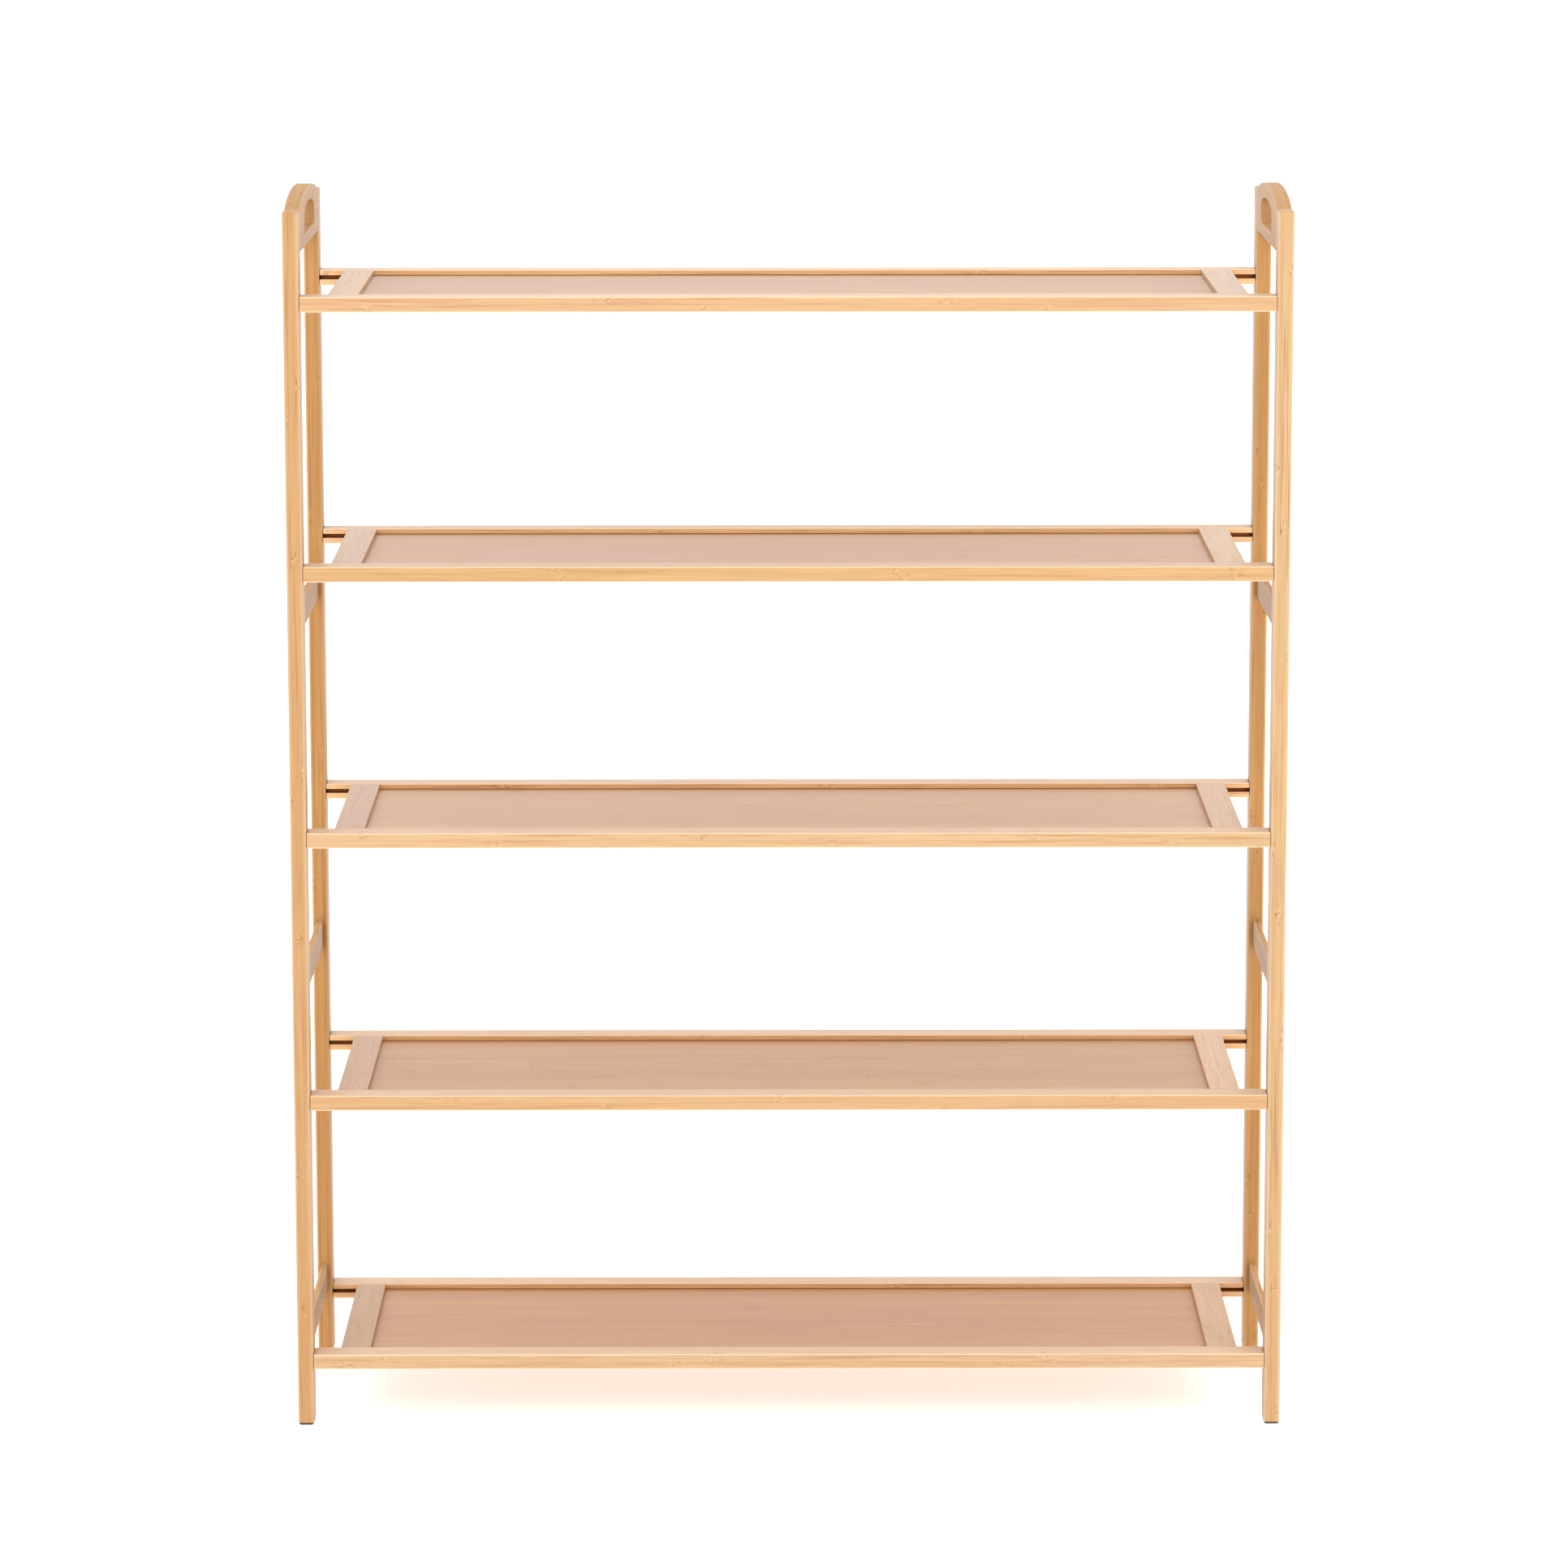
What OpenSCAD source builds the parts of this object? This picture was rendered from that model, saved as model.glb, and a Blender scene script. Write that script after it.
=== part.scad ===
// Five-tier shoe rack in laminated bamboo strip: two ladder-shaped side frames with
// arched carrying handles, and five framed panel shelves bolted between them.
// Millimetres. +X to the right, +Y to the back, +Z up. Origin on the floor, under the centre.

/* [Overall] */
// Width over the outer faces of the side posts
rack_w = 800; // [600:10:1000]
// Depth over the front and rear faces of the posts
rack_d = 250; // [220:5:320]
// Height of the post tops above the floor
post_top = 989; // [960:1:1060]
// Rise of the handle's arch above the post tops
arch_rise = 11; // [9:1:14]

/* [Side frames] */
// Post size across the rack (X)
post_w = 13; // [12:0.5:20]
// Post size front to back (Y)
post_d = 24; // [22:0.5:32]
// Radius on the posts' long edges
post_r = 2; // [0.5:0.25:3]
// Radius on the posts' top edges
post_top_r = 1.5; // [0.5:0.25:2.5]
// Depth of the handle board below the post tops
handle_drop = 34; // [32:1:45]
// Thickness of the thin cross slats
slat_t = 5; // [4:0.25:6]
// Height of the thin cross slats
slat_h = 23; // [18:1:28]
// Height of the lowest cross slat's centre line
slat_z0 = 64; // [55:1:80]
// Distance between the cross slats' centre lines
slat_pitch = 297.5; // [270:0.5:310]
// How far a slat's end goes into its post
slat_tenon = 8; // [5:0.5:9]

/* [Hand slot] */
// Length of the hand slot
slot_l = 108; // [90:1:120]
// Height of the rail left under the hand slot
slot_bar = 9.5; // [8:0.5:12]
// Height of the hand slot's straight ends
slot_side = 18.2; // [14:0.2:18.2]
// Rise of the hand slot's arched top
slot_rise = 5.7; // [4:0.1:6]

/* [Shelves] */
// Height of the lowest shelf's top face above the floor
tier_z0 = 59; // [45:1:80]
// Distance from one shelf to the next
tier_pitch = 215.7; // [190:0.1:220]
// Height of a shelf rail and an end stile
rail_h = 12.5; // [12:0.5:16]
// Size of a shelf rail front to back (Y)
rail_d = 23; // [22:0.5:28]
// How far a rail's face sits behind the post's face
rail_setback = 0.5; // [0:0.1:1]
// Radius on the rails' outer long edges
rail_r = 1.2; // [0.4:0.1:2]
// Width of an end stile (X)
stile_w = 24; // [20:1:32]
// Open gap between a post and the end stile
stile_gap = 21; // [15:1:40]
// Depth of the panel's face below the rails' top faces
panel_drop = 4.2; // [3:0.1:5]
// Thickness of the panel
panel_t = 3.4; // [3:0.1:4]
// Depth of the groove that holds the panel
groove_d = 8; // [5:0.5:9]

/* [Hardware] */
// Bolt shank radius
bolt_r = 3; // [2.5:0.25:3.25]
// Bolt length under the head
bolt_l = 28; // [25:1:35]
// Bolt head radius
head_r = 6; // [5:0.25:7]
// Bolt head thickness
head_t = 2.6; // [2:0.1:3]
// Outer radius of the threaded insert
insert_r = 4.5; // [4:0.25:4.5]
// Length of the threaded insert
insert_l = 14; // [10:1:16]
// Radius of the handle's dowels
dowel_r = 3; // [2.5:0.25:3.5]
// Length of the handle's dowels
dowel_l = 20; // [16:1:20]
// Thickness of a foot pad
foot_t = 1.5; // [1:0.5:5]

/* [Hidden] */
$fn = 48;

xo = rack_w/2;                       // outer face of a post
xi = xo - post_w;                    // inner face of a post
yo = rack_d/2;                       // outer (front or rear) face of a post
yi = yo - post_d;                    // inner face of a post
ry = yo - rail_setback - rail_d;     // a rail's face towards the panel
end_gap = 0.2;                       // between a rail's end and its post
bolt_y = yo - 10;                    // bolt axis
slat_x = xo - post_w/2 + 0.5;        // middle of a slat's thickness
slat_zs = [slat_z0, slat_z0 + slat_pitch, slat_z0 + 2*slat_pitch];
stile_x1 = xi - stile_gap;           // a stile's edge towards the post
stile_x0 = stile_x1 - stile_w;       // a stile's edge towards the panel
groove_h = panel_t + 0.2;            // groove, with room for the panel
groove_up = panel_drop - 0.1;        // wood left over the groove
head_seat = head_t + 0.3;            // counterbore, so that heads sit just under flush
shank_x = xo - head_seat - bolt_l;   // tip of a bolt
board_z0 = post_top - handle_drop;   // bottom edge of a handle board
arch_scale = yi/101;                 // keeps the arch's shape when the depth changes
dowel_zs = [board_z0 + 9, board_z0 + 25];

function tier_z(i) = tier_z0 + (i - 1)*tier_pitch;
function bolt_z(i) = tier_z(i) - rail_h/2;

// Rectangle from (x0, y0) to (x1, y1) with true arcs: r1 on the low-y corners, r2 on the high-y ones.
module round_rect(x0, y0, x1, y1, r1, r2) {
    union() {
        translate([x0 + max(r1, r2), y0]) square([x1 - x0 - 2*max(r1, r2), y1 - y0]);
        translate([x0, y0 + r1]) square([x1 - x0, y1 - y0 - r1 - r2]);
        for (sx = [0, 1]) {
            translate([sx == 0 ? x0 + r1 : x1 - r1, y0 + r1]) circle(r1);
            translate([sx == 0 ? x0 + r2 : x1 - r2, y1 - r2]) circle(r2);
            // fills what the smaller radius leaves open beside the middle square
            if (r1 < r2) translate([sx == 0 ? x0 + r1 : x1 - r2, y0]) square([r2 - r1, r1 + 0.01]);
            if (r2 < r1) translate([sx == 0 ? x0 + r2 : x1 - r1, y1 - r2 - 0.01]) square([r1 - r2, r2 + 0.01]);
        }
    }
}

// Extrudes a profile drawn in (Y, Z) along X, from x0 to x1.
module along_x(x0, x1) {
    translate([x0, 0, 0]) rotate([90, 0, 90]) linear_extrude(x1 - x0) children();
}

// Extrudes a profile drawn in (X, Z) along Y, from y0 to y1.
module along_y(y0, y1) {
    translate([0, y1, 0]) rotate([90, 0, 0]) linear_extrude(y1 - y0) children();
}

// A copy on the side sx (-1 left, 1 right) and sy (-1 front, 1 rear) of what is drawn at +X, +Y.
module to_side(sx, sy) {
    mirror([sx < 0 ? 1 : 0, 0, 0]) mirror([0, sy < 0 ? 1 : 0, 0]) children();
}

// One post, drawn at the right rear corner.
module post() {
    difference() {
        intersection() {
            translate([0, 0, foot_t]) linear_extrude(post_top - foot_t)
                round_rect(xi, yi, xo, yo, post_r, post_r);
            along_y(yi - 1, yo + 1)
                round_rect(xi, foot_t, xo, post_top, 1.0, post_top_r);
        }
        // bolt holes, with a counterbore for each head in the outer face
        for (i = [1:5]) translate([xi - 1, bolt_y, bolt_z(i)]) rotate([0, 90, 0]) {
            cylinder(h = post_w + 2, r = bolt_r + 0.3);
            translate([0, 0, post_w + 1 - head_seat]) cylinder(h = head_seat + 1, r = head_r + 0.2);
        }
        // routed mortises with round ends, for the slats
        for (z = slat_zs) translate([slat_x, yi - 1, z]) rotate([-90, 0, 0])
            linear_extrude(slat_tenon + 1.5) union() {
                square([slat_t, slat_h], center = true);
                for (s = [-1, 1]) translate([0, s*slat_h/2]) circle(slat_t/2);
            }
        // dowel holes for the handle board
        for (z = dowel_zs) translate([xi + post_w/2, yi - 1, z]) rotate([-90, 0, 0])
            cylinder(h = dowel_l/2 + 1.5, r = dowel_r);
    }
}

// Hand slot in (Y, Z): rounded low corners, arched top.
module hand_slot() {
    r_low = 4;
    r_up = 8;
    z0 = board_z0 + slot_bar;
    h = slot_l/2;
    r_arch = (h*h + slot_rise*slot_rise)/(2*slot_rise);
    zc = z0 + slot_side + slot_rise - r_arch;
    yu = h - r_up;
    zu = zc + sqrt((r_arch - r_up)*(r_arch - r_up) - yu*yu);
    yt = yu*r_arch/(r_arch - r_up);
    union() {
        intersection() {
            translate([0, zc]) circle(r_arch, $fn = 96);
            translate([-yt, z0]) square([2*yt, 60]);
        }
        translate([-h, z0 + r_low]) square([2*h, zu - z0 - r_low]);
        translate([-h + r_low, z0]) square([2*h - 2*r_low, r_low + 0.1]);
        for (s = [-1, 1]) {
            translate([s*(h - r_low), z0 + r_low]) circle(r_low);
            translate([s*yu, zu]) circle(r_up);
        }
    }
}

// Outline of a handle board in (Y, Z). Its top is a flat arch with fuller shoulders, which
// runs out onto the post tops through a small hollow at each end. All arcs meet in tangents.
module board_outline() {
    r1 = 560;                            // middle of the arch
    r2 = 180;                            // shoulders
    r3 = 14;                             // hollow at each end
    y1 = 60*arch_scale;                  // where the middle and a shoulder meet
    zc1 = post_top + arch_rise - r1;
    yc2 = (r1 - r2)*y1/r1;
    zc2 = zc1 + (r1 - r2)*sqrt(1 - pow(y1/r1, 2));
    y3 = yc2 + sqrt(pow(r2 + r3, 2) - pow(post_top + r3 - zc2, 2));
    yt = yc2 + (y3 - yc2)*r2/(r2 + r3);
    zt = zc2 + (post_top + r3 - zc2)*r2/(r2 + r3);
    difference() {
        union() {
            translate([-yi, board_z0]) square([2*yi, handle_drop]);
            intersection() {
                translate([0, zc1]) circle(r1, $fn = 180);
                translate([-y1, board_z0 + 1]) square([2*y1, handle_drop + arch_rise]);
            }
            for (s = [-1, 1]) {
                intersection() {
                    translate([s*yc2, zc2]) circle(r2, $fn = 180);
                    translate([s < 0 ? -yt : y1, board_z0 + 1]) square([yt - y1, handle_drop + arch_rise]);
                }
                translate([s < 0 ? -y3 : yt, post_top - 1]) square([y3 - yt, zt - post_top + 1]);
            }
        }
        for (s = [-1, 1]) translate([s*y3, post_top + r3]) circle(r3, $fn = 96);
    }
}

// Handle board, drawn on the right: an arched board between the posts with a hand slot through it.
module handle() {
    difference() {
        along_x(xi, xo) difference() {
            board_outline();
            hand_slot();
        }
        for (sy = [-1, 1], z = dowel_zs) translate([xi + post_w/2, sy*yi, z]) rotate([90, 0, 0])
            translate([0, 0, -dowel_l/2 - 0.5]) cylinder(h = dowel_l + 1, r = dowel_r);
    }
}

// Four dowels that hold one handle board to its posts, drawn on the right.
module handle_dowels() {
    for (sy = [-1, 1], z = dowel_zs) translate([xi + post_w/2, sy*yi, z]) rotate([90, 0, 0])
        rotate_extrude() polygon([
            [0, -dowel_l/2], [dowel_r - 0.6, -dowel_l/2], [dowel_r, -dowel_l/2 + 0.8],
            [dowel_r, dowel_l/2 - 0.8], [dowel_r - 0.6, dowel_l/2], [0, dowel_l/2]]);
}

// Thin cross slat, drawn on the right, at height z. Its plain ends are its tenons.
module slat(z) {
    along_y(-yi - slat_tenon, yi + slat_tenon)
        round_rect(slat_x - slat_t/2, z - slat_h/2, slat_x + slat_t/2, z + slat_h/2, 0.8, 0.8);
}

// Shelf rail with its top face at z, drawn at the rear. The groove for the panel runs its full length.
module rail(z) {
    difference() {
        along_x(-xi + end_gap, xi - end_gap) difference() {
            round_rect(ry, z - rail_h, ry + rail_d, z, rail_r, rail_r);
            translate([ry - 1, z - groove_up - groove_h]) square([groove_d + 1, groove_h]);
        }
        // blind hole in each end: a seat for the insert, then room for the bolt's tip
        for (s = [-1, 1]) translate([s*xi, bolt_y, z - rail_h/2]) rotate([0, -s*90, 0]) {
            translate([0, 0, -1]) cylinder(h = insert_l + 1.4, r = insert_r);
            cylinder(h = xi - shank_x + 4, r = bolt_r + 0.3);
        }
    }
}

// End stile with its top face at z, drawn on the right. It is grooved for the panel,
// and a tongue at each end goes into the rails' grooves.
module stile(z) {
    zc = z - groove_up - groove_h/2;
    difference() {
        union() {
            along_y(-ry, ry) round_rect(stile_x0, z - rail_h, stile_x1, z, 0.6, 0.6);
            translate([stile_x0 + groove_d, -ry - groove_d + 0.5, zc - groove_h/2 + 0.05])
                cube([stile_w - groove_d, 2*(ry + groove_d - 0.5), groove_h - 0.1]);
        }
        translate([stile_x0 - 1, -ry - groove_d - 1, zc - groove_h/2])
            cube([groove_d + 1, 2*(ry + groove_d + 1), groove_h]);
    }
}

// Shelf panel, held in the grooves all round, with 0.5 mm to move in.
module panel(z) {
    x = stile_x0 + groove_d - 0.5;
    y = ry + groove_d - 0.5;
    translate([-x, -y, z - panel_drop - panel_t]) cube([2*x, 2*y, panel_t]);
}

// Connector bolt along X, drawn at the right rear: low head with a hex socket, plain thread.
module bolt(z) {
    difference() {
        translate([xo - head_seat - bolt_l, bolt_y, z]) rotate([0, 90, 0]) rotate_extrude()
            polygon([
                [0, 0], [bolt_r - 0.8, 0], [bolt_r, 0.9], [bolt_r, bolt_l],
                [head_r, bolt_l], [head_r, bolt_l + head_t - 0.8],
                [head_r - 1.2, bolt_l + head_t], [0, bolt_l + head_t]]);
        translate([xo - head_seat + head_t - 2, bolt_y, z]) rotate([0, 90, 0])
            cylinder(h = 4, r = 2.3, $fn = 6);
    }
}

// Threaded insert in a rail's end, drawn at the right rear.
module insert(z) {
    translate([xi - end_gap - insert_l - 0.1, bolt_y, z]) rotate([0, 90, 0]) rotate_extrude()
        polygon([
            [bolt_r + 0.05, 0], [insert_r - 0.7, 0], [insert_r - 0.7, 1.2], [insert_r, 1.9],
            [insert_r, insert_l], [bolt_r + 0.05, insert_l]]);
}

// The four bolts or inserts of one tier.
module four() {
    for (sx = [-1, 1], sy = [-1, 1]) to_side(sx, sy) children();
}

// Foot pad under one post, drawn at the right rear, its lower edges rounded.
module foot() {
    c = 0.7;
    intersection() {
        linear_extrude(foot_t) round_rect(xi + c, yi + c, xo - c, yo - c, post_r, post_r);
        along_y(yi, yo) round_rect(xi + c, 0, xo - c, foot_t + 5, 0.9, 0.5);
        along_x(xi, xo) round_rect(yi + c, 0, yo - c, foot_t + 5, 0.9, 0.5);
    }
}

module post_colour() { color([0.90, 0.72, 0.50]) children(); }
module rail_colour() { color([0.94, 0.77, 0.57]) children(); }
module panel_colour() { color([0.84, 0.69, 0.56]) children(); }

module left_front_post() { post_colour() to_side(-1, -1) post(); }
module left_rear_post() { post_colour() to_side(-1, 1) post(); }
module right_front_post() { post_colour() to_side(1, -1) post(); }
module right_rear_post() { post_colour() to_side(1, 1) post(); }
module side_handle(sx) { post_colour() to_side(sx, 1) handle(); }
module side_dowels(sx) { color([0.82, 0.66, 0.45]) to_side(sx, 1) handle_dowels(); }
module side_slat(sx, k) { post_colour() to_side(sx, 1) slat(slat_zs[k]); }
module tier_rail(i, sy) { rail_colour() to_side(1, sy) rail(tier_z(i)); }
module tier_stile(i, sx) { rail_colour() to_side(sx, 1) stile(tier_z(i)); }
module tier_panel(i) { panel_colour() panel(tier_z(i)); }
module tier_bolts(i) { color([0.72, 0.72, 0.70]) four() bolt(bolt_z(i)); }
module tier_inserts(i) { color([0.80, 0.72, 0.45]) four() insert(bolt_z(i)); }
module corner_foot(sx, sy) { color([0.07, 0.07, 0.07]) to_side(sx, sy) foot(); }

left_front_post();
left_rear_post();
right_front_post();
right_rear_post();
side_handle(-1);  // left_handle
side_handle(1);  // right_handle
side_dowels(-1);  // left_handle_dowels
side_dowels(1);  // right_handle_dowels
side_slat(-1, 0);  // left_lower_slat
side_slat(-1, 1);  // left_middle_slat
side_slat(-1, 2);  // left_upper_slat
side_slat(1, 0);  // right_lower_slat
side_slat(1, 1);  // right_middle_slat
side_slat(1, 2);  // right_upper_slat
corner_foot(-1, -1);  // left_front_foot
corner_foot(-1, 1);  // left_rear_foot
corner_foot(1, -1);  // right_front_foot
corner_foot(1, 1);  // right_rear_foot
tier_rail(1, -1);  // tier1_front_rail
tier_rail(1, 1);  // tier1_rear_rail
tier_stile(1, -1);  // tier1_left_stile
tier_stile(1, 1);  // tier1_right_stile
tier_panel(1);  // tier1_panel
tier_bolts(1);  // tier1_bolts
tier_inserts(1);  // tier1_inserts
tier_rail(2, -1);  // tier2_front_rail
tier_rail(2, 1);  // tier2_rear_rail
tier_stile(2, -1);  // tier2_left_stile
tier_stile(2, 1);  // tier2_right_stile
tier_panel(2);  // tier2_panel
tier_bolts(2);  // tier2_bolts
tier_inserts(2);  // tier2_inserts
tier_rail(3, -1);  // tier3_front_rail
tier_rail(3, 1);  // tier3_rear_rail
tier_stile(3, -1);  // tier3_left_stile
tier_stile(3, 1);  // tier3_right_stile
tier_panel(3);  // tier3_panel
tier_bolts(3);  // tier3_bolts
tier_inserts(3);  // tier3_inserts
tier_rail(4, -1);  // tier4_front_rail
tier_rail(4, 1);  // tier4_rear_rail
tier_stile(4, -1);  // tier4_left_stile
tier_stile(4, 1);  // tier4_right_stile
tier_panel(4);  // tier4_panel
tier_bolts(4);  // tier4_bolts
tier_inserts(4);  // tier4_inserts
tier_rail(5, -1);  // tier5_front_rail
tier_rail(5, 1);  // tier5_rear_rail
tier_stile(5, -1);  // tier5_left_stile
tier_stile(5, 1);  // tier5_right_stile
tier_panel(5);  // tier5_panel
tier_bolts(5);  // tier5_bolts
tier_inserts(5);  // tier5_inserts
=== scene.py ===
import math

import bmesh
import bpy
import json
from mathutils import Matrix, Vector
from mathutils.geometry import tessellate_polygon


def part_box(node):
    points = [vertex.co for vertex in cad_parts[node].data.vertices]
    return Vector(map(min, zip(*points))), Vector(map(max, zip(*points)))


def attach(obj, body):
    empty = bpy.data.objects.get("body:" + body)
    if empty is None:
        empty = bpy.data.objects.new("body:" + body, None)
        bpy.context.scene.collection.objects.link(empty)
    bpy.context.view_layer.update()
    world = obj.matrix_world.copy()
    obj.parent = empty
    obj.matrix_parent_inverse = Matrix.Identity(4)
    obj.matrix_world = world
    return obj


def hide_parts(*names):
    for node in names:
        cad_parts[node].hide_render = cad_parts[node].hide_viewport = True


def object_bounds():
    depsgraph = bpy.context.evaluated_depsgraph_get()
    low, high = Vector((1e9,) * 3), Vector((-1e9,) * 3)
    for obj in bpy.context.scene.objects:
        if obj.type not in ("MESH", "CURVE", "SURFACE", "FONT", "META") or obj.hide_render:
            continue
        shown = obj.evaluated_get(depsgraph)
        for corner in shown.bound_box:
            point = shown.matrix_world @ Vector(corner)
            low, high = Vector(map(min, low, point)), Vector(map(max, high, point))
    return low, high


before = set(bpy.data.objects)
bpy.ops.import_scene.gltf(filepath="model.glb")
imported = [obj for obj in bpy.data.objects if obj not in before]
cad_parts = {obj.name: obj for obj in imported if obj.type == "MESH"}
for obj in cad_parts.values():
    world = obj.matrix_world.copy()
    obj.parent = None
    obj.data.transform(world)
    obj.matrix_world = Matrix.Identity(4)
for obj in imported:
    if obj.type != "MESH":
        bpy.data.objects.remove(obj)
CAD_BOX = [list(map(float, c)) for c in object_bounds()]
scene = bpy.context.scene
MM = 0.001

# ---------------------------------------------------------------- camera

CAM = dict(x=-12.3, y=-5027.8, z=1404.1, yaw=0.00177, pitch=0.16627, roll=0.00086, lens=142.71, shift=-0.04)
cam_data = bpy.data.cameras.new("camera")
cam = bpy.data.objects.new("camera", cam_data)
scene.collection.objects.link(cam)
cy, sy = math.cos(CAM["yaw"]), math.sin(CAM["yaw"])
cp, sp = math.cos(CAM["pitch"]), math.sin(CAM["pitch"])
cr, sr = math.cos(CAM["roll"]), math.sin(CAM["roll"])
right = Vector((cy, -sy, 0))
forward = Vector((sy * cp, cy * cp, -sp))
up = Vector((sy * sp, cy * sp, cp))
right2 = right * cr - up * sr
up2 = right * sr + up * cr
m = Matrix((right2, up2, -forward)).transposed().to_4x4()
m.translation = Vector((CAM["x"], CAM["y"], CAM["z"])) * MM
cam.matrix_world = m
cam_data.sensor_width = 36
cam_data.lens = CAM["lens"]
cam_data.shift_y = CAM["shift"]
cam_data.clip_start, cam_data.clip_end = 0.05, 200
scene.camera = cam

# ---------------------------------------------------------------- node helpers


def new_material(name):
    mat = bpy.data.materials.new(name)
    mat.use_nodes = True
    nt = mat.node_tree
    nt.nodes.clear()
    out = nt.nodes.new("ShaderNodeOutputMaterial")
    bsdf = nt.nodes.new("ShaderNodeBsdfPrincipled")
    nt.links.new(bsdf.outputs[0], out.inputs[0])
    return mat, nt, bsdf


class Net:
    """Short names for the nodes a material is made of."""

    def __init__(self, nt):
        self.nt = nt

    def put(self, socket, value):
        if hasattr(value, "is_linked") or hasattr(value, "links"):
            self.nt.links.new(value, socket)
        else:
            socket.default_value = value

    def math(self, op, a, b=None, c=None, clamp=False):
        n = self.nt.nodes.new("ShaderNodeMath")
        n.operation = op
        n.use_clamp = clamp
        self.put(n.inputs[0], a)
        if b is not None:
            self.put(n.inputs[1], b)
        if c is not None:
            self.put(n.inputs[2], c)
        return n.outputs[0]

    def vec(self, x, y, z):
        n = self.nt.nodes.new("ShaderNodeCombineXYZ")
        for i, v in enumerate((x, y, z)):
            self.put(n.inputs[i], v)
        return n.outputs[0]

    def noise(self, vector, scale=1.0, detail=3.0, rough=0.5, distort=0.0):
        n = self.nt.nodes.new("ShaderNodeTexNoise")
        n.noise_dimensions = "3D"
        self.put(n.inputs["Vector"], vector)
        n.inputs["Scale"].default_value = scale
        n.inputs["Detail"].default_value = detail
        n.inputs["Roughness"].default_value = rough
        n.inputs["Distortion"].default_value = distort
        return n.outputs[0]

    def white(self, vector):
        n = self.nt.nodes.new("ShaderNodeTexWhiteNoise")
        n.noise_dimensions = "3D"
        self.put(n.inputs["Vector"], vector)
        return n.outputs["Value"], n.outputs["Color"]

    def remap(self, v, a, b, c=0.0, d=1.0, smooth=False):
        n = self.nt.nodes.new("ShaderNodeMapRange")
        n.interpolation_type = "SMOOTHSTEP" if smooth else "LINEAR"
        n.clamp = True
        self.put(n.inputs["Value"], v)
        n.inputs["From Min"].default_value = a
        n.inputs["From Max"].default_value = b
        n.inputs["To Min"].default_value = c
        n.inputs["To Max"].default_value = d
        return n.outputs[0]

    def mix(self, fac, a, b, mode="MIX"):
        n = self.nt.nodes.new("ShaderNodeMix")
        n.data_type = "RGBA"
        n.blend_type = mode
        n.clamp_factor = True
        self.put(n.inputs[0], fac)
        self.put(n.inputs[6], a)
        self.put(n.inputs[7], b)
        return n.outputs[2]

    def bump(self, height, strength, distance, normal=None):
        n = self.nt.nodes.new("ShaderNodeBump")
        n.inputs["Strength"].default_value = strength
        n.inputs["Distance"].default_value = distance
        self.put(n.inputs["Height"], height)
        if normal is not None:
            self.put(n.inputs["Normal"], normal)
        return n.outputs[0]

    def object_xyz(self):
        tc = self.nt.nodes.new("ShaderNodeTexCoord")
        s = self.nt.nodes.new("ShaderNodeSeparateXYZ")
        self.nt.links.new(tc.outputs["Object"], s.inputs[0])
        return s.outputs


def rgb(r, g, b):
    """sRGB 0-255 to a linear colour."""
    out = []
    for v in (r, g, b):
        v /= 255.0
        out.append(v / 12.92 if v <= 0.04045 else ((v + 0.055) / 1.055) ** 2.4)
    return (*out, 1.0)


# ---------------------------------------------------------------- bamboo


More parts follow.
